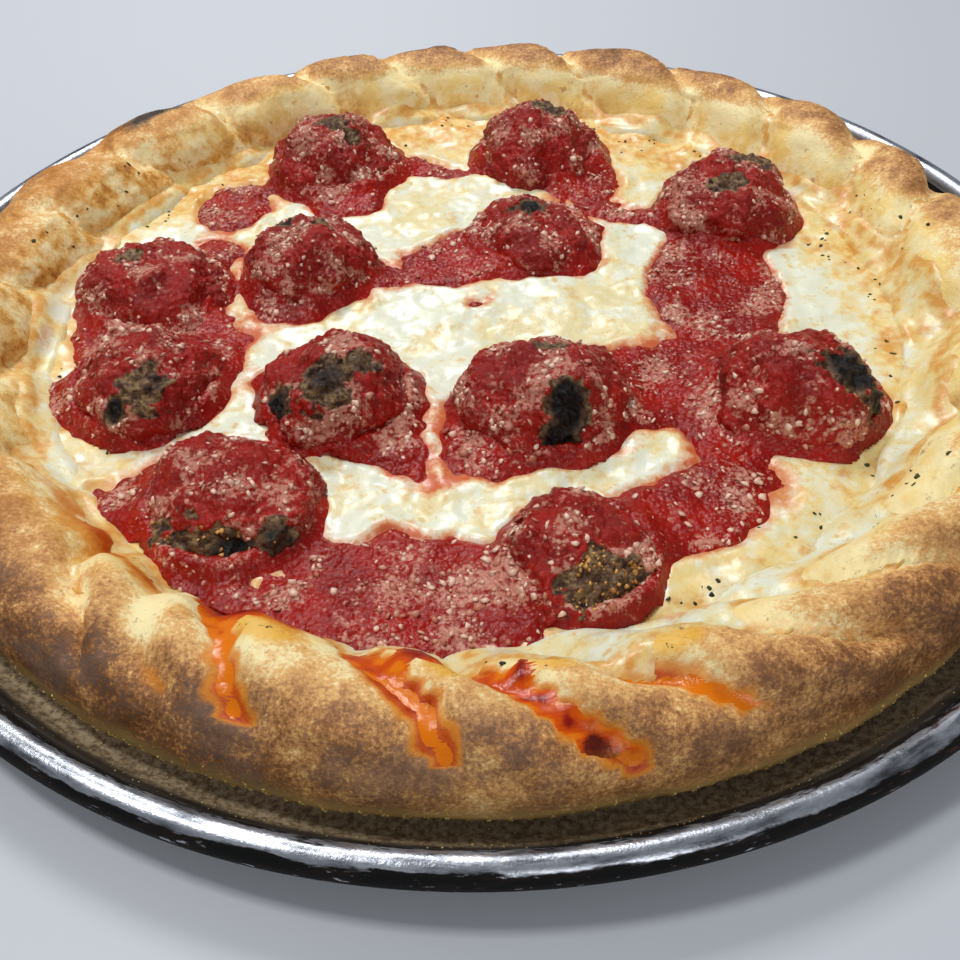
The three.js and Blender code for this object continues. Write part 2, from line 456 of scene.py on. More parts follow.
def make_crust():
    """The rim of dough, rolled over and pinched into folds that overlap like a rope."""
    heart_radius, heart_height = 165, 16
    bpy.ops.mesh.primitive_torus_add(
        major_segments=RIM_COLUMNS, minor_segments=RIM_ROWS,
        major_radius=heart_radius * MM, minor_radius=heart_height * MM,
    )
    crust = bpy.context.object
    ring = points_of(crust)
    angle = np.arctan2(ring[:, 1], ring[:, 0])
    tilt = np.arctan2(ring[:, 2], np.hypot(ring[:, 0], ring[:, 1]) - heart_radius)
    row = np.round(tilt % TURN / TURN * RIM_ROWS).astype(int) % RIM_ROWS
    section = rim_section()
    line = section[row]
    along = np.roll(section, -1, axis=0) - np.roll(section, 1, axis=0)
    outwards = np.stack([along[:, 1], -along[:, 0]], axis=1)
    outwards /= np.linalg.norm(outwards, axis=1)[:, None]
    outwards = outwards[row]

    radius, height, bite, puff = line.T
    shown = row < RIM_ROWS - HIDDEN_ROWS
    even = round_points(radius, angle, height)
    wander = noise(even, 16, 1) * 1.3
    fold, nearest, width, share = fold_places(angle, radius, wander)
    off = np.radians(np.minimum(share, 1 - share) * width) * radius
    deep = np.array([crease[1] for crease in CREASES])[nearest]
    runs = np.array([crease[2] for crease in CREASES])
    across = smooth_step(0.25, 0.75, share)
    run = runs[fold] * (1 - across) + np.roll(runs, -1)[fold] * across

    # The outside wall stays smooth below the place where a crease runs out.
    down_outside = np.clip((27 - height) / 25, 0, 1) * (radius > 170)
    fade = 1 - smooth_step(run * 0.6, run * 1.3 + 0.1, down_outside)
    narrow = 4.6 - 1.2 * down_outside
    groove = bell(off, narrow) * deep * bite * fade
    rise = np.sin(np.clip(share / 0.36, 0, 1) * math.pi / 2)
    pillow = rise * (1 - 0.75 * smooth_step(0.35, 1, share)) * (1 - bell(off, 3.4))
    lobe_size = 0.8 + 0.3 * np.sin(fold * 2.4) + (width - 14) / 50
    swell = pillow * lobe_size * puff * (0.3 + 0.7 * fade)
    lumps = noise(even, 26, 2) * 0.9 + noise(even, 11, 3) * 0.45 + noise(even, 4.5, 4) * 0.2
    lumps = lumps + noise(even, 2.2, 6) * 0.08 + noise(even, 15, 10) * 0.9 * (radius < 158)
    lumps = lumps * smooth_step(2, 9, height)
    depth = -GROOVE_DEPTH * groove + LOBE_RISE * swell * 0.85 + lumps
    depth = np.where(shown, depth, 0)
    lift = LOBE_RISE * 0.2 * swell
    ring_wave = noise(even, 75, 5) * 1.6 * smooth_step(6, 20, height)
    radius = radius + outwards[:, 0] * depth + np.where(shown, ring_wave, 0)
    height = height + outwards[:, 1] * depth + np.where(shown, lift, 0)
    limit = RIM_TOP - TOP_EASE
    eased = limit + TOP_EASE * np.tanh((height - limit) / TOP_EASE)
    height = np.where(height > limit, eased, height)
    points = round_points(radius, angle, height)
    move_points(crust, points)
    paint(crust, "row", row)
    paint(crust, "groove", groove)
    paint(crust, "crease", nearest)
    paint_crust(crust, points, angle, groove, off, share)
    return settle(crust, "crust_bread", crust_finish(), "baked_dough", "crust")


def paint_crust(crust, points, angle, groove, off, share):
    """Browning with painted highlights on the near folds, ash, oil and burns, each as a share on
    every vertex.
    """
    x, y, z = points.T
    radius = np.hypot(x, y)
    at = partial(bump_at, np.degrees(angle))
    wall = smooth_step(166, 180, radius)
    crest = smooth_step(25, 31, z)
    inner = 1 - smooth_step(150, 163, radius)
    near_left = at(222, 34)
    near = at(266, 38)
    right = at(312, 30)
    middle = noise(points, 11, 8)
    far = at(92, 60)
    toast_and_highlight = 0.34 + 0.2 * wall + (0.1 + 0.14 * far) * crest - 0.36 * inner
    toast_and_highlight += 0.08 * noise(points, 34, 7) + 0.1 * middle
    toast_and_highlight += (0.24 * near_left + 0.22 * right) * wall
    toast_and_highlight += 0.16 * at(210, 24) * (1 - inner) - 0.12 * at(128, 20)
    toast_and_highlight += 0.2 * at(245, 10) * smooth_step(165, 175, radius) - 0.14 * far * inner
    toast_and_highlight += 0.1 * at(90, 24) * crest
    toast_and_highlight -= 0.1 * at(322, 16) * (1 - wall)
    # Painted highlight: the near side's top and inner slope are made paler, most on the rising side
    # of each fold, where the fold tops catch the light.
    toast_and_highlight -= near * (1 - wall) * (0.1 + 0.2 * smooth_step(0.45, 0.05, share))
    toast_and_highlight -= 0.26 * bell(off, 6) * smooth_step(10, 20, z) * (1 - 0.7 * wall)
    paint(crust, "toast_and_highlight", np.clip(toast_and_highlight, 0, 1))
    paint(crust, "low", 1 - smooth_step(7, 19, z))
    paint(crust, "inside", inner)
    paint(crust, "ash", np.clip(near_left * wall + 0.5 * near * wall, 0, 1))
    left_side = at(174, 30)
    right_side = at(342, 16) + at(13, 15)
    sides = 0.75 * left_side + 0.9 * right_side
    foot = smooth_step(24, 10, z)
    stained = 0.8 * groove * inner + (0.35 + sides) * inner * foot
    stained += left_side * (0.55 + 0.5 * inner)
    stained += 0.45 * at(148, 22) + 0.45 * at(222, 9) * (1 - wall)
    paint(crust, "golden", np.clip(stained, 0, 1))
    gilded = sum(at(turn, 3) * bell(radius - place, 5) for turn, place in GILDED_PLACES)
    paint(crust, "gilded", np.clip(gilded, 0, 1))
    turn, place = BURNT_PLACE
    burnt = at(turn, 5) * smooth_step(place - 5, place + 3, radius)
    burnt *= smooth_step(10, 22, z)
    paint(crust, "burnt", np.clip(burnt * (1.1 + 0.6 * middle), 0, 1))
    slick = at(265, 22) * bell(off, 4.2)
    slick *= smooth_step(0.15, 0.5, groove) * (1 - at(240.5, 5))
    ring = at(246, 26) * bell(radius - 149, 6) * smooth_step(-0.4, 0.3, middle)
    paint(crust, "oily", np.clip(slick * 1.7 + ring, 0, 1))


def crust_finish():
    dough = Finish(
        "baked_crust", {"Subsurface Weight": 0.06, "Subsurface Scale": 0.002, "IOR": 1.42}
    )
    # The browning level, which also holds the painted highlights on the near folds.
    toast_and_highlight = dough.painted("toast_and_highlight")
    inside = dough.painted("inside")
    mottle = dough.noise(6, 5, 0.7)
    fine = dough.noise(1.1, 4, 0.75)
    patches = dough.noise(15, 3, 0.6)
    speck = dough.noise(2.4, 4, 0.7)
    wrinkle = dough.noise(2.6, 5, 0.75)
    blotchy = mottle - 0.5
    grainy = fine - 0.5
    broad = patches - 0.5
    level = toast_and_highlight + (blotchy * 0.9 + grainy * 1.1 + broad * 0.6) * (0.4 + 1.5 * toast_and_highlight)
    ash = dough.painted("ash") * (patches + grainy * 0.6).ramp(0.44, 0.62)
    freckle = speck.ramp(0.6, 0.68) * (1 - inside)
    colour = dough.layers(
        tone(252, 234, 176),
        ((230, 178, 108), level.ramp(0.08, 0.34)),
        ((190, 134, 78), level.ramp(0.3, 0.58)),
        ((142, 92, 48), level.ramp(0.54, 0.82)),
        ((100, 62, 30), level.ramp(0.8, 1.1)),
        ((122, 98, 84), ash * 0.6),
        ((112, 68, 38), freckle * 0.5),
    )
    oiled = dough.painted("golden")
    golden = oiled * (mottle + broad * 0.8).ramp(0.3, 0.68)
    browned = oiled * (mottle + broad * 0.9).ramp(0.52, 0.76)
    yolk = inside * (patches + blotchy * 0.6).ramp(0.38, 0.62)
    spots = inside * dough.noise(5, 3, 0.6).ramp(0.62, 0.72)
    gilded = (dough.painted("gilded") + blotchy * 1.2).ramp(0.25, 0.85)
    dusted = (dough.painted("low") + blotchy * 1.1 + grainy * 0.6).ramp(0.15, 0.95)
    oily = dough.painted("oily")
    halo = (oily + blotchy * 0.5).ramp(0.06, 0.36)
    slick = (oily + blotchy * 0.5).ramp(0.34, 0.66)
    soaked = (oily + blotchy * 0.6).ramp(0.7, 0.95)
    burnt = (dough.painted("burnt") + blotchy + grainy * 0.5).ramp(0.2, 0.95)
    colour = dough.layers(
        colour,
        ((248, 208, 100), yolk * 0.75),
        ((216, 142, 40), golden * 0.9),
        ((138, 80, 28), browned * 0.7),
        ((170, 100, 40), spots * 0.6),
        ((236, 178, 44), gilded * 0.75),
        ((44, 20, 8), gilded * speck.ramp(0.64, 0.69)),
        ((206, 172, 104), dusted * 0.75),
        ((222, 134, 14), halo * 0.85),
        ((194, 78, 0), slick),
        ((160, 36, 2), soaked * 0.8),
        ((46, 32, 24), burnt),
    )
    rough = 0.6 - slick * 0.2 - inside * 0.1
    relief = dough.bump(mottle, 0.5, 0.7)
    relief = dough.bump(wrinkle, 0.75, 0.55, relief)
    relief = dough.bump(fine, 0.4, 0.22, relief)
    return dough.finish({"Base Color": colour, "Roughness": rough, "Normal": relief})


def values_of(piece, name):
    """The numbers that paint() kept on a piece."""
    values = np.empty(len(piece.data.vertices))
    piece.data.attributes[name].data.foreach_get("value", values)
    return values


def degrees_round(points):
    return np.degrees(np.arctan2(points[:, 1], points[:, 0])) % 360


def rows_up(crust):
    """Rows of the rim's net above its inner foot, each about a millimetre wide."""
    return LAST_SHOWN_ROW - values_of(crust, "row")


def film_over(crust, thickness, keep):
    """A copy of part of the crust's skin, pushed out by a thickness and closed inside the dough."""
    skin = bpy.data.objects.new("film", crust.data.copy())
    bpy.context.scene.collection.objects.link(skin)
    move_points(skin, points_of(crust) + normals_of(crust) * thickness[:, None])
    trim(skin, ~keep)
    soft = skin.modifiers.new("soft", "SMOOTH")
    soft.factor = 0.5
    soft.iterations = 5
    apply_modifier(skin, soft)
    thicken(skin, FILM_BACK)
    return skin


def apply_modifier(piece, modifier):
    deselect()
    bpy.context.view_layer.objects.active = piece
    bpy.ops.object.modifier_apply(modifier=modifier.name)


def thicken(sheet, amount):
    """Gives an open sheet a back, so that it is closed."""
    solid = sheet.modifiers.new("back", "SOLIDIFY")
    solid.thickness = amount * MM
    solid.offset = -1
    apply_modifier(sheet, solid)


def make_cheese_lip(crust):
    """The cheese that clings to the inside of the crust and hangs over it in tongues."""
    points = points_of(crust)
    at = partial(bump_at, degrees_round(points))
    groove = values_of(crust, "groove")
    climb = rows_up(crust)
    tongues = noise(points, 15, 41) * 5.2 + noise(points, 6, 42) * 2.4
    right = at(345, 38)
    near = at(283, 15)
    left = at(195, 30)
    sauced = at(250, 17)
    reach = 9.0 + 12 * right + 20 * near + 9 * at(259, 4) + 6 * left
    reach += tongues + 2 * groove - 7 * sauced
    up = smooth_step(reach + 1.5, reach - 3.5, climb)
    blobs = 0.5 * noise(points, 7, 43) + 0.3 * noise(points, 3, 44)
    foot = (2.4 + 1.5 * noise(points, 16, 50)) * (1 - sauced)
    foot *= np.exp(-np.maximum(climb - 5, 0) / 3.2)
    thickness = -1.0 + up * (2.0 + blobs + 0.6 * near) + foot
    fried = 0.35 * at(336, 13) + 0.5 * at(8, 20)
    fried += 0.5 * (1 - at(300, 34)) * (0.8 + 0.6 * noise(points, 9, 49))
    paint(crust, "edge", np.clip(smooth_step(reach - 9, reach - 1, climb) + fried, 0, 1))
    orange = 1.2 * at(232, 18) + 0.9 * at(290, 7) + 0.8 * at(183, 16)
    paint(crust, "stain", np.clip(orange * 0.75 * (0.7 + noise(points, 8, 45)), 0, 0.9))
    lip = film_over(crust, thickness, (climb > 0) & (climb < LIP_ROWS))
    return settle(lip, "cheese_lip", cheese_finish("clinging_mozzarella"), "melted_cheese")


# Where sauce has run out over the crust: the crease it runs in, its share of GROOVE_DEPTH
# filled, and the radii between which it lies.
SPILLS = ((248.5, 0.3, 148, 163), (262.5, 0.34, 146, 164), (272.3, 0.34, 157, 181))
# Pools on the inner slope: angle, radius, half width, half depth.
POOLS_ON_RIM = ((264.6, 154, 8, 8), (246.5, 152, 13, 5), (273, 160, 4, 5))
POOL_RING = 155  # the radius on which the pools' widths are measured
# Drops at the end of the longest run, the last of them scorched: angle, radius, size.
DROPS = ((277.0, 179, 4.2), (275.0, 173, 3.6), (273.5, 168, 3.2))
SCORCHED_END = (277.2, 179.5)
DROP_DEGREE = 3.1  # millimetres in a degree there
DRIP_ROWS = (2, 62)  # the part of the rim's net that the films are cut from
DRIP_DEGREES = (241, 292)


def make_sauce_drips(crust):
    """Sauce and fat that have run out through the creases, drying at their ends."""
    points = points_of(crust)
    radius = np.hypot(points[:, 0], points[:, 1])
    degrees = degrees_round(points)
    groove = values_of(crust, "groove")
    nearest = values_of(crust, "crease").astype(int)
    starts = np.array([crease[0] for crease in CREASES])[nearest]
    beads = noise(points, 9, 46) * 0.4 + noise(points, 4, 47) * 0.12
    filled = np.full(len(points), -1.0)
    for start, depth, low, high in SPILLS:
        inside = (starts == start) * smooth_step(low - 2, low + 2, radius)
        inside = inside * smooth_step(high + 1, high - 2, radius)
        run = inside * smooth_step(0.3, 1.0, groove) * (depth * 4 + beads * 1.1)
        filled = np.maximum(filled, run - 0.6)
    for turn, place, width, length in POOLS_ON_RIM:
        off = np.hypot(
            np.radians(degrees - turn) * POOL_RING / width, (radius - place) / length
        )
        pool = 1.9 * smooth_step(1.2, 0.4, off + beads * 0.3) * (1 + beads)
        filled = np.maximum(filled, pool - 0.5)
    for turn, place, size in DROPS:
        off = np.hypot(radius - place, (degrees - turn) * DROP_DEGREE)
        filled += 1.8 * smooth_step(size, 0.5, off)
    turn, place = SCORCHED_END
    from_end = np.hypot(radius - place, (degrees - turn) * DROP_DEGREE)
    paint(crust, "thick", np.clip(filled, 0, 2))
    paint(crust, "scorched", smooth_step(6, 2, from_end))
    up = rows_up(crust)
    keep = (up > DRIP_ROWS[0]) & (up < DRIP_ROWS[1])
    keep &= (degrees > DRIP_DEGREES[0]) & (degrees < DRIP_DEGREES[1])
    drips = film_over(crust, filled - 0.25 * (filled < -0.3), keep)
    return settle(drips, "sauce_drips", drip_finish(), "tomato_sauce")


def drip_finish():
    drip = Finish("baked_sauce_drips", {"IOR": 1.45, "Specular IOR Level": 0.35})
    thick = drip.painted("thick")
    pulp = drip.noise(2, 4, 0.65)
    deep = thick + (pulp - 0.5) * 0.9
    scorched = (drip.painted("scorched") + (pulp - 0.5)).ramp(0.3, 0.8)
    colour = drip.layers(
        tone(224, 118, 4),
        ((202, 74, 2), deep.ramp(0.2, 0.8)),
        ((136, 18, 2), deep.ramp(0.8, 1.5)),
        ((70, 24, 8), scorched * 0.85),
    )
    relief = drip.bump(pulp, 0.5, 0.4)
    return drip.finish({"Base Color": colour, "Roughness": 0.06 + pulp * 0.2, "Normal": relief})


# ---------- where the toppings lie


class Ball:
    """A meatball's place, taken from its CAD node, in millimetres."""

    def __init__(self, node):
        low, high = box_mm(node)
        self.node = node
        self.x, self.y = (low + high)[:2] / 2
        self.radius = (high - low)[:2].mean() / 2
        self.height = high[2] - CHEESE_TOP

    def beyond(self, x, y):
        """How far a point lies outside the ball's foot."""
        return np.hypot(x - self.x, y - self.y) - self.radius


BALLS = [Ball(node) for node in numbered("meatball")]

# Smears and necks of sauce that join the pools: x, y, half length, half width, turn.
SAUCE_SMEARS = (
    (-53, 78, 15, 18, 0), (-97, 70, 14, 17, 0), (-20, 98, 12, 7, -25), (43, 86, 14, 16, 0),
    (55, 60, 14, 5, -20), (-2, 30, 34, 16, 22), (28, 42, 20, 24, 0), (-97, 38, 8, 8, 30),
    (-65, 0, 14, 10, 0), (-108, -16, 29, 20, 0), (-134, -48, 16, 9, 0), (-96, -92, 14, 12, 0),
    (-57, -133, 24, 8, -25), (-62, -42, 9, 8, 0), (-24, -70, 6, 13, 28), (3, -66, 14, 20, 0),
    (-20, -126, 34, 21, 0), (-14, -141, 26, 9, 0), (0, 0, 5, 2.5, 10), (84, 7, 23, 34, 0),
    (50, -46, 24, 20, 0), (70, -50, 12, 34, 0), (58, -99, 27, 15, 20),
)


def oval_depth(x, y, oval):
    """How far a point lies inside an oval, negative outside."""
    centre_x, centre_y, length, width, turn = oval
    cosine, sine = math.cos(math.radians(turn)), math.sin(math.radians(turn))
    along = ((x - centre_x) * cosine + (y - centre_y) * sine) / length
    across = ((y - centre_y) * cosine - (x - centre_x) * sine) / width
    return (1 - np.hypot(along, across)) * min(length, width)


def sauce_depth(x, y):
    """How far a point lies inside the sauce, in about millimetres, negative outside."""
    softness = 2.5
    depths = [oval_depth(x, y, oval) for oval in SAUCE_SMEARS]
    depths += [1.2 - ball.beyond(x, y) for ball in BALLS]
    joined = softness * np.log(sum(np.exp(np.clip(depth, -60, 60) / softness) for depth in depths))
    flat = flat_points(x, y)
    return joined + noise(flat, 15, 21) * 2.4 + noise(flat, 5.5, 22) * 1.1


def cheese_waves(x, y):
    """The level of the topping before blobs and pools."""
    flat = flat_points(x, y)
    return CHEESE_TOP + 0.2 + noise(flat, 30, 23) * 0.7


def cheese_height(x, y, depth):
    """The cheese: blobs and blisters where it shows, and a hollow under each pool."""
    flat = flat_points(x, y)
    blobs = noise(flat, 17, 24) * 1.0 + noise(flat, 8, 25) * 0.6 + noise(flat, 3.4, 26) * 0.22
    blister = 0.5 * smooth_step(0.42, 0.1, cells(flat, 9, 27))
    blister *= smooth_step(0, 0.5, noise(flat, 20, 28))
    under = smooth_step(-3, 4, depth)
    ridge = 0.7 * bell(depth + 3, 2.5)
    return cheese_waves(x, y) + (blobs + blister + ridge) * (1 - under) - 1.2 * under


def sauce_height(x, y, depth):
    """The sauce: it swells up from its edge, climbs the feet of the meatballs and is coarse."""
    flat = flat_points(x, y)
    rise = -1.6 + 2.3 * smooth_step(-3, 3.5, depth)
    coarse = noise(flat, 9, 31) * 0.5 + noise(flat, 4, 34) * 0.3 + noise(flat, 2.2, 32) * 0.26
    pulp = 0.45 * smooth_step(0.55, 0.1, cells(flat, 2.6, 33))
    climb = np.zeros_like(x)
    for ball in BALLS:
        beyond = ball.beyond(x, y)
        hug = np.exp(-np.maximum(beyond, 0) / 4.5) * smooth_step(-9, -1, beyond)
        climb = np.maximum(climb, 4.4 * hug)
    return cheese_waves(x, y) + rise + (coarse + pulp) * smooth_step(-3, 1, depth) + climb


# ---------- cheese and sauce

SHEET_REACH = 151  # the cheese ends inside the foot of the crust
UNDERSIDE_REACH = 141  # and is drawn in underneath
SAUCE_SHEET = 150  # half the width of the square that the sauce is cut from
SAUCE_REACH = 148
CHEESE_SPACING = 0.95
SAUCE_SPACING = 0.9


def add_sheet(reach, spacing):
    """A flat square of small faces about the middle of the pan."""
    steps = round(2 * reach / spacing)
    bpy.ops.mesh.primitive_grid_add(x_subdivisions=steps, y_subdivisions=steps, size=2 * reach * MM)
    return bpy.context.object


def trim(piece, unwanted):
    """Takes away the marked vertices and whatever they hold."""
    edit_mode(piece, "VERT")
    pick("DESELECT")
    object_mode()
    piece.data.vertices.foreach_set("select", np.asarray(unwanted, bool))
    edit_mode(piece, "VERT")
    bpy.ops.mesh.delete(type="VERT")
    object_mode()


def make_cheese():
    """The sheet of melted cheese, which runs in under the foot of the crust."""
    cheese = add_sheet(SHEET_REACH, CHEESE_SPACING)
    points = points_of(cheese)
    trim(cheese, np.hypot(points[:, 0], points[:, 1]) > SHEET_REACH)
    points = points_of(cheese)
    x, y = points[:, 0], points[:, 1]
    depth = sauce_depth(x, y)
    radius = np.hypot(x, y)
    risen = smooth_step(128, 144, radius) * (0.4 + 0.5 * noise(flat_points(x, y), 7, 29))
    points[:, 2] = cheese_height(x, y, depth) + risen
    move_points(cheese, points)
    paint(cheese, "stain", smooth_step(-8, 0.5, depth))
    golden = 0.8 * smooth_step(108, 146, radius) + 0.6 * smooth_step(55, 90, y)
    golden += 0.5 * smooth_step(96, 128, x) * clumps(points, 14, 55)
    paint(cheese, "edge", np.minimum(golden, 1.0))
    close_under(cheese, CHEESE_BOTTOM, UNDERSIDE_REACH)
    finish = cheese_finish("melted_mozzarella")
    return settle(cheese, "melted_cheese", finish, "melted_cheese", "cheese")


def close_under(piece, bottom, reach):
    """Draws the open edge of a sheet down and in, and closes it underneath."""
    edit_mode(piece, "EDGE")
    pick("DESELECT")
    bpy.ops.mesh.select_non_manifold()
    bpy.ops.mesh.extrude_edges_move()
    object_mode()
    points = points_of(piece)
    chosen = np.zeros(len(points), bool)
    piece.data.vertices.foreach_get("select", chosen)
    shrink = reach / np.hypot(points[chosen, 0], points[chosen, 1])
    points[chosen, 0] *= shrink
    points[chosen, 1] *= shrink
    points[chosen, 2] = bottom
    move_points(piece, points)
    edit_mode(piece, "EDGE")
    bpy.ops.mesh.edge_face_add()
    pick("SELECT")
    bpy.ops.mesh.normals_make_consistent(inside=False)
    object_mode()


def cheese_finish(name):
    cheese = Finish(name, {
        "Subsurface Weight": 0.2, "Subsurface Scale": 0.003, "Subsurface Radius": (1.0, 0.7, 0.4),
        "IOR": 1.45, "Coat Weight": 0.15, "Coat Roughness": 0.14,
    })
    stain = cheese.painted("stain")
    edge = cheese.painted("edge")
    broad = cheese.noise(22, 3, 0.55)
    middle = cheese.noise(7, 4, 0.6)
    fine = cheese.noise(2.0, 4, 0.65)
    patch = middle + (fine - 0.5) * 0.6
    patchy = patch - 0.5
    creamy = (broad + patchy * 0.6).ramp(0.4, 0.62)
    seep = (stain + patchy * 1.1).ramp(0.5, 0.95)
    oil = (stain + patchy * 0.7).ramp(0.84, 1.02)
    spots = cheese.noise(5, 3, 0.6).ramp(0.64, 0.72)
    rim = (edge + patchy * 1.2).ramp(0.2, 1.0)
    crisp = (edge + (cheese.noise(5.5, 4, 0.6) - 0.5) * 1.8).ramp(0.65, 1.25)
    colour = cheese.layers(
        tone(234, 236, 212),
        ((234, 220, 168), creamy),
        ((226, 188, 116), patch.ramp(0.56, 0.72) * 0.7),
        ((240, 240, 224), patch.ramp(0.44, 0.34) * 0.5),
        ((226, 150, 96), seep * 0.75),
        ((204, 84, 30), oil * 0.85),
        ((226, 164, 70), spots * 0.6),
        ((240, 210, 128), rim * 0.75),
        ((218, 146, 42), crisp * 0.85),
    )
    relief = cheese.bump(middle, 0.4, 0.8)
    relief = cheese.bump(fine, 0.5, 0.35, relief)
    rough = 0.34 + (middle - 0.5) * 0.4
    return cheese.finish({"Base Color": colour, "Roughness": rough, "Normal": relief})


def make_sauce():
    """Every pool and smear of tomato sauce, lying in the cheese."""
    sauce = add_sheet(SAUCE_SHEET, SAUCE_SPACING)
    points = points_of(sauce)
    x, y = points[:, 0], points[:, 1]
    hidden = sauce_depth(x, y) < -3.2
    for ball in BALLS:
        hidden |= ball.beyond(x, y) < -10
    hidden |= np.hypot(x, y) > SAUCE_REACH
    trim(sauce, hidden)
    points = points_of(sauce)
    x, y = points[:, 0], points[:, 1]
    depth = sauce_depth(x, y)
    points[:, 2] = sauce_height(x, y, depth)
    move_points(sauce, points)
    paint(sauce, "cheesy", clumps(points, 12, 51) * smooth_step(0, 2, depth))
    thicken(sauce, 1.2)
    return settle(
        sauce, "tomato_sauce", sauce_finish("tomato_sauce"), "tomato_sauce", *numbered("sauce_pool")
    )


def sauce_colour(finish, broad, fine):
    return finish.layers(
        tone(134, 12, 4),
        ((162, 20, 8), broad.ramp(0.35, 0.65)),
        ((92, 6, 2), fine.ramp(0.54, 0.7) * 0.6),
        ((190, 62, 22), fine.ramp(0.42, 0.3) * 0.5),
    )


def melted_parmesan(finish, colour, cheesy):
    """Grated cheese that has melted in, as pale pink threads and specks."""
    thread = finish.noise(1.9, 4, 0.7)
    share = (thread + (cheesy - 0.5) * 0.2).ramp(0.48, 0.63)
    return finish.layers(colour, ((206, 146, 124), share * 0.8))


def sauce_finish(name):
    sauce = Finish(name, {"IOR": 1.4, "Specular IOR Level": 0.35})
    broad = sauce.noise(16, 3, 0.5)
    fine = sauce.noise(1.8, 4, 0.65)
    grain = sauce.cells(1.7)
    colour = melted_parmesan(sauce, sauce_colour(sauce, broad, fine), sauce.painted("cheesy"))
    relief = sauce.bump(1 - grain, 0.7, 0.6)
    relief = sauce.bump(fine, 0.8, 0.5, relief)
    rough = 0.1 + fine * 0.26
    return sauce.finish({"Base Color": colour, "Roughness": rough, "Normal": relief})


# ---------- meatballs

# Where the sauce has slid off a meatball and the browned meat shows: for each ball, the
# spots as offset to the right, offset away, radius and how burnt it is.
BARE_SPOTS = (
    ((-1, 4, 8, 0.5), (8, -6, 4, 0.1)),
    ((4, 6, 9, 0.3), (-8, 12, 4, 0.2)),
    ((-6, 4, 5, 0.2),),
    ((-9, 9, 4, 0.9), (5, 5, 4, 0.3)),
    ((0, 4, 6, 0.95), (-6, 3, 3, 0.5)),
    ((7, 7, 9, 0.35), (-5, -8, 7, 0.15)),
    ((13, -6, 11, 1.0), (20, -14, 5, 0.8)),
    ((3, -24, 8, 1.0), (5, -15, 7, 1.0), (2, 8, 6, 0.2)),
    ((-1, -9, 9, 0.72), (-18, -12, 7, 0.9), (8, -3, 5, 0.6)),
    ((5, -14, 8, 0.4), (-3, -20, 4, 0.9)),
    ((-9, -24, 13, 0.5), (5, -23, 10, 1.0), (17, -18, 8, 0.7), (-20, -15, 7, 0.4)),
    ((5, -15, 13, 0.5), (15, -14, 8, 0.7), (-17, -16, 5, 1.0), (0, -20, 8, 0.5)),
)

# How high each ball stands, as a share of its CAD height.
SUNK = (1, 0.95, 0.85, 0.95, 0.82, 0.98, 0.98, 0.92, 0.9, 0.86, 0.88, 0.76)


SUNK_DEPTH = 8  # how deep the lower half of a ball is before its foot is cut flat
FOOT = CHEESE_TOP - 1.6  # the level at which it is cut


def make_meatball(ball, spots, height, seed):
    """A ball of minced meat, sunk in the cheese and coated with coarse sauce."""
    bpy.ops.mesh.primitive_ico_sphere_add(subdivisions=7, radius=1)
    meat = bpy.context.object
    unit = points_of(meat) * MM
    lumps = noise(unit, 1.0, seed) * 0.14 + noise(unit, 0.45, seed + 40) * 0.06
    around = unit * (1 + lumps[:, None])
    x = ball.x + around[:, 0] * ball.radius
    y = ball.y + around[:, 1] * ball.radius
    up = around[:, 2]
    rise = np.where(up > 0, up * ball.height * height, up * SUNK_DEPTH)
    points = np.stack([x, y, CHEESE_TOP + rise], axis=1)

    bare = np.full(len(points), -1.0)
    burnt = np.zeros(len(points))
    ragged = noise(points, 5, seed + 60) * 0.28 + noise(points, 2, seed + 61) * 0.16
    for right, away, radius, char in spots:
        off = np.hypot(points[:, 0] - ball.x - right, points[:, 1] - ball.y - away) / radius
        bare = np.maximum(bare, 1 - off)
        burnt = np.maximum(burnt, char * smooth_step(1.3, 0.3, off))
    bare = smooth_step(-0.06, 0.2, bare + ragged * (bare > -0.6))
    out = unit / np.array([ball.radius, ball.radius, ball.height])
    out /= np.linalg.norm(out, axis=1)[:, None]
    crags = 1.5 - 2.8 * cells(points, 4.6, seed) + noise(points, 2.1, seed + 70) * 0.7
    pulp = noise(points, 9, seed + 80) * 1.2 + noise(points, 3.6, seed + 81) * 0.65
    pulp += 0.6 * smooth_step(0.6, 0.1, cells(points, 2.8, seed + 82))
    pulp += noise(points, 1.5, seed + 83) * 0.2
    points += out * (bare * crags + (1 - bare) * (pulp + 0.5))[:, None]
    points[:, 2] = np.minimum(points[:, 2], RIM_TOP - 0.2)
    move_points(meat, points)
    paint(meat, "bare", bare)
    paint(meat, "burnt", burnt)
    paint(meat, "cheesy", clumps(points, 10, 52))
    edit_mode(meat)
    pick("SELECT")
    bpy.ops.mesh.bisect(
        plane_co=(0, 0, FOOT * MM), plane_no=(0, 0, 1), clear_inner=True, use_fill=True
    )
    object_mode()
    return settle(meat, f"coated_{ball.node}", MEAT_FINISH, "meatball", ball.node)


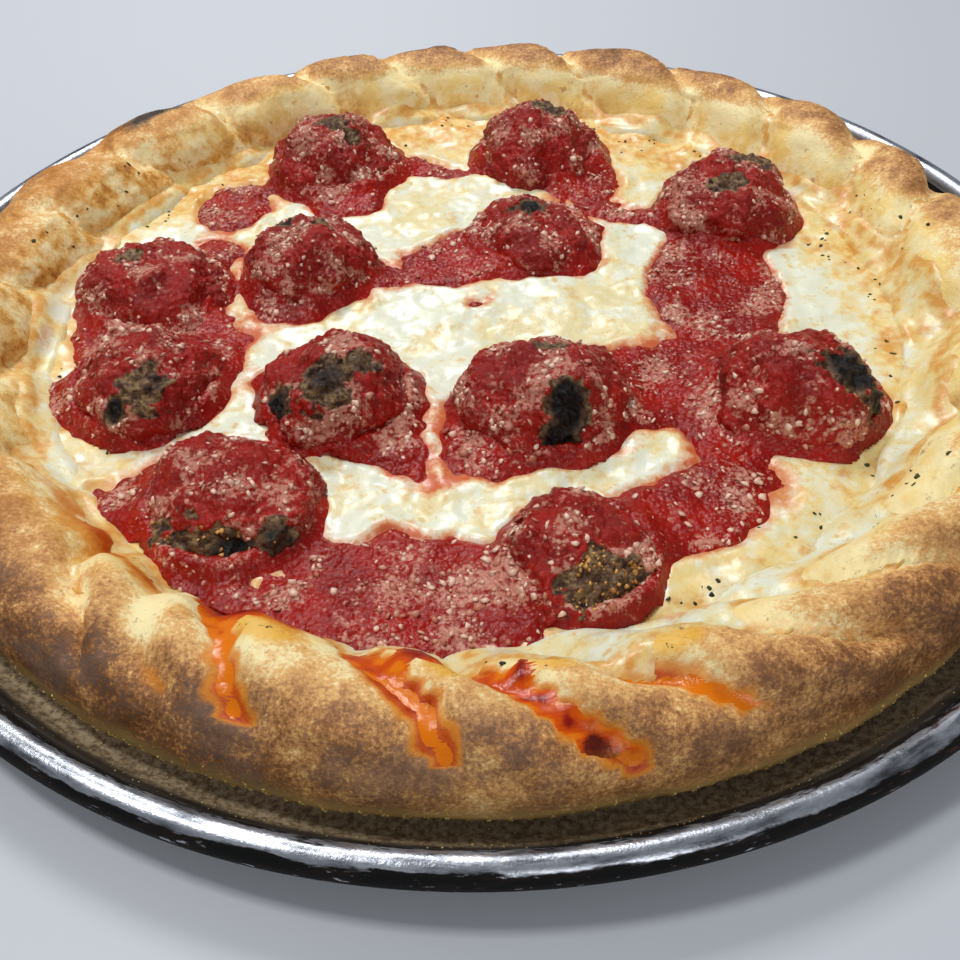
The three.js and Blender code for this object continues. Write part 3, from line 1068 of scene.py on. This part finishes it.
def meat_finish():
    meat = Finish("sauced_meat", {"IOR": 1.4, "Specular IOR Level": 0.35})
    bare = meat.painted("bare")
    burnt = meat.painted("burnt")
    broad = meat.noise(14, 3, 0.5)
    fine = meat.noise(1.7, 4, 0.65)
    crumb = meat.noise(2.6, 5, 0.75)
    grain = meat.cells(1.6)
    sauce = melted_parmesan(meat, sauce_colour(meat, broad, fine), meat.painted("cheesy"))
    brown = meat.layers(
        tone(86, 58, 38),
        ((150, 122, 84), crumb.ramp(0.46, 0.62)),
        ((44, 22, 16), crumb.ramp(0.48, 0.38)),
        ((15, 9, 8), (burnt + (crumb - 0.5) * 1.4).ramp(0.5, 0.85)),
    )
    shown = (bare + (fine - 0.5) * 0.9).ramp(0.35, 0.65)
    colour = meat.blend(sauce, brown, shown)
    relief = meat.bump(1 - grain, 0.7, 0.6)
    relief = meat.bump(crumb, 1.0, 0.9, relief)
    rough = 0.12 + fine * 0.26 + shown * 0.1
    return meat.finish({"Base Color": colour, "Roughness": rough, "Normal": relief})


# ---------- scattered things


class Host:
    """A finished piece on which small things lie."""

    def __init__(self, piece):
        self.points = points_of(piece)
        self.normals = normals_of(piece)


def scatter(name, hosts, weights, count, size, flatness, material, slot, seed, spread=0.5):
    """One mesh of many small grains that lie on the hosts, more of them where weights are high."""
    random = np.random.default_rng(seed)
    points = np.concatenate([host.points for host in hosts])
    normals = np.concatenate([host.normals for host in hosts])
    weights = np.clip(np.concatenate(weights), 0, None)
    chosen = random.choice(len(points), count, p=weights / weights.sum())
    bpy.ops.mesh.primitive_ico_sphere_add(subdivisions=1, radius=1)
    grain = bpy.context.object
    shape = points_of(grain) * MM
    corners = np.empty(len(grain.data.loops), int)
    grain.data.loops.foreach_get("vertex_index", corners)
    corners = corners.reshape(-1, 3)

    low, high = size
    width = low + (high - low) * random.beta(1.6, 3.2, count)
    length = width * random.uniform(0.55, 1.0, count)
    depth = width * flatness * random.uniform(0.7, 1.2, count)
    stretch = np.stack([width, length, depth], axis=1) / 2
    rough = shape[None] * random.uniform(0.6, 1.25, (count, len(shape), 1))
    local = rough * stretch[:, None]
    up = normals[chosen] + random.normal(0, 0.35, (count, 3))
    up /= np.linalg.norm(up, axis=1)[:, None]
    side = np.cross(up, random.normal(0, 1, (count, 3)))
    side /= np.linalg.norm(side, axis=1)[:, None]
    third = np.cross(up, side)
    turned = local @ np.stack([side, third, up], axis=1)
    # The grains stray from their vertices along the host's skin, so they don't sink through it.
    strayed = random.uniform(-spread, spread, (2, count, 1))
    aside = side * strayed[0] + third * strayed[1]
    skin = normals[chosen]
    aside -= skin * (aside * skin).sum(axis=1)[:, None]
    seat = points[chosen] + aside + up * (stretch[:, 2:] * 0.15)
    places = (turned + seat[:, None]).reshape(-1, 3)
    places[:, 2] = np.minimum(places[:, 2], RIM_TOP)
    faces = (corners[None] + np.arange(count)[:, None, None] * len(shape)).reshape(-1, 3)
    grain.data.clear_geometry()
    grain.data.from_pydata((places * MM).tolist(), [], faces.tolist())
    paint(grain, "shade", np.repeat(random.uniform(0, 1, count), len(shape)))
    return settle(grain, name, material, slot)


def grain_finish(name, dark, light, roughness):
    grain = Finish(name, {"Roughness": roughness})
    mottle = grain.noise(0.8, 3, 0.6)
    share = (grain.painted("shade") + (mottle - 0.5) * 0.6).ramp(0.1, 0.9)
    relief = grain.bump(mottle, 0.4, 0.2)
    return grain.finish({"Base Color": grain.blend(dark, light, share), "Normal": relief})


def clumps(points, size, seed):
    return smooth_step(-0.5, 0.9, noise(points, size, seed))


def scatter_all(crust, cheese, sauce, balls, pan):
    sauce_host = Host(sauce)
    ball_hosts = [Host(ball) for ball in balls]
    top = (sauce_host.normals[:, 2] > 0.2) * (sauce_depth(*sauce_host.points[:, :2].T) > 0.8)
    weights = [top * (0.12 + clumps(sauce_host.points, 12, 51) ** 1.5)]
    for host, ball in zip(ball_hosts, balls):
        height = host.points[:, 2] - CHEESE_TOP
        weights.append(
            0.26 * (height > 1) * smooth_step(-0.1, 0.5, host.normals[:, 2])
            * (0.06 + clumps(host.points, 10, 52) ** 2) * (1 - values_of(ball, "bare")) ** 2
        )
    parmesan = grain_finish("grated_parmesan", tone(186, 108, 84), tone(240, 204, 180), 0.36)
    scatter("parmesan_grains", [sauce_host, *ball_hosts], weights, 5000, (0.7, 4.2), 0.3,
            parmesan, "grated_cheese", 1)
    crumbs = grain_finish("toasted_crumbs", tone(150, 92, 30), tone(220, 166, 84), 0.55)
    browned = [ball_hosts[-1], ball_hosts[-2]]
    on_meat = [
        values_of(ball, "bare") * (host.normals[:, 2] > 0.1) * share
        for ball, host, share in zip(balls[:-3:-1], browned, (1.0, 0.25))
    ]
    scatter("toasted_crumbs", browned, on_meat, 170, (0.7, 2.4), 0.6, crumbs, "crumbs", 5)

    crust_host = Host(crust)
    cheese_host = Host(cheese)
    x, y, z = crust_host.points.T
    radius = np.hypot(x, y)
    inner = (radius < 160) * (z > 9) * (crust_host.normals[:, 2] > 0.1)
    right = 0.03 + smooth_step(70, 130, x) * smooth_step(90, 30, y) + 0.3 * (x < -110)
    on_crust = inner * right * clumps(crust_host.points, 16, 53) ** 2
    x, y, z = cheese_host.points.T
    edge = smooth_step(118, 142, np.hypot(x, y)) * (z > CHEESE_TOP - 1) * (sauce_depth(x, y) < 0)
    herbs = grain_finish("dried_herbs", tone(22, 22, 10), tone(74, 72, 30), 0.7)
    scatter("herb_flakes", [crust_host, cheese_host],
            [on_crust, edge * 0.25 * clumps(cheese_host.points, 12, 54)], 260, (0.8, 3.2), 0.3,
            herbs, "herbs", 2)

    height = crust_host.points[:, 2]
    low = (radius > 178) * smooth_step(15, 3, height) * (height > 2.4)
    pan_host = Host(pan)
    pan_radius = np.hypot(*pan_host.points[:, :2].T)
    floor = (pan_radius > 184) * (pan_radius < 192) * (pan_host.normals[:, 2] > 0.4)
    meal = grain_finish("cornmeal", tone(176, 140, 62), tone(240, 212, 128), 0.7)
    scatter("cornmeal_on_crust", [crust_host], [low], 6500, (0.35, 1.2), 0.7, meal, "crumbs", 3)
    scatter("cornmeal_on_pan", [pan_host], [floor], 1500, (0.35, 1.0), 0.7, meal, "crumbs", 4, 2.2)


# ---------- the room and the camera

CAMERA_PLACE = (0, -277.9, 208.3)
CAMERA_TURN = (44.206, 0.954, -0.780)  # degrees: tilt up from straight down, roll, and turn
LENS = 36


def make_room():
    bpy.ops.mesh.primitive_plane_add(size=6, location=(0, 0, 0))
    floor = bpy.context.object
    floor.name = "pale_floor"
    pale = Finish("pale_floor", {"Base Color": tone(196, 200, 206), "Roughness": 0.5})
    floor.data.materials.append(pale.material)
    deselect()

    world = bpy.data.worlds.new("soft_room")
    world.use_nodes = True
    world.node_tree.nodes["Background"].inputs["Color"].default_value = tone(226, 232, 242)
    world.node_tree.nodes["Background"].inputs["Strength"].default_value = 0.28
    bpy.context.scene.world = world
    add_light("window_behind", (-0.15, 0.8, 1.0), (0, 0, 0), 0.32, 8.5)
    add_light("ceiling_left", (-0.5, 0.1, 1.2), (0, 0, 0), 0.22, 6)
    add_light("front_fill", (0.35, -1.1, 0.8), (0, 0, 0), 0.5, 3.7)


def add_light(name, place, aim, size, watts):
    light = bpy.data.lights.new(name, "AREA")
    light.size = size
    light.energy = watts
    lamp = bpy.data.objects.new(name, light)
    lamp.location = place
    lamp.rotation_euler = (Vector(aim) - Vector(place)).to_track_quat("-Z", "Y").to_euler()
    bpy.context.scene.collection.objects.link(lamp)


def make_camera():
    lens = bpy.data.cameras.new("camera")
    lens.lens = LENS
    lens.sensor_width = 36
    lens.clip_start = 0.01
    camera = bpy.data.objects.new("camera", lens)
    camera.location = np.array(CAMERA_PLACE) * MM
    camera.rotation_euler = [math.radians(angle) for angle in CAMERA_TURN]
    bpy.context.scene.collection.objects.link(camera)
    bpy.context.scene.camera = camera


# ---------- putting it together

deselect()
bpy.context.scene.view_settings.view_transform = "Standard"
make_camera()
make_room()
pan_steel = make_pan()
crust_bread = make_crust()
make_cheese_lip(crust_bread)
make_sauce_drips(crust_bread)
melted_cheese = make_cheese()
tomato_sauce = make_sauce()
MEAT_FINISH = meat_finish()
meatballs = [
    make_meatball(ball, spots, height, seed)
    for seed, (ball, spots, height) in enumerate(zip(BALLS, BARE_SPOTS, SUNK))
]
scatter_all(crust_bread, melted_cheese, tomato_sauce, meatballs, pan_steel)
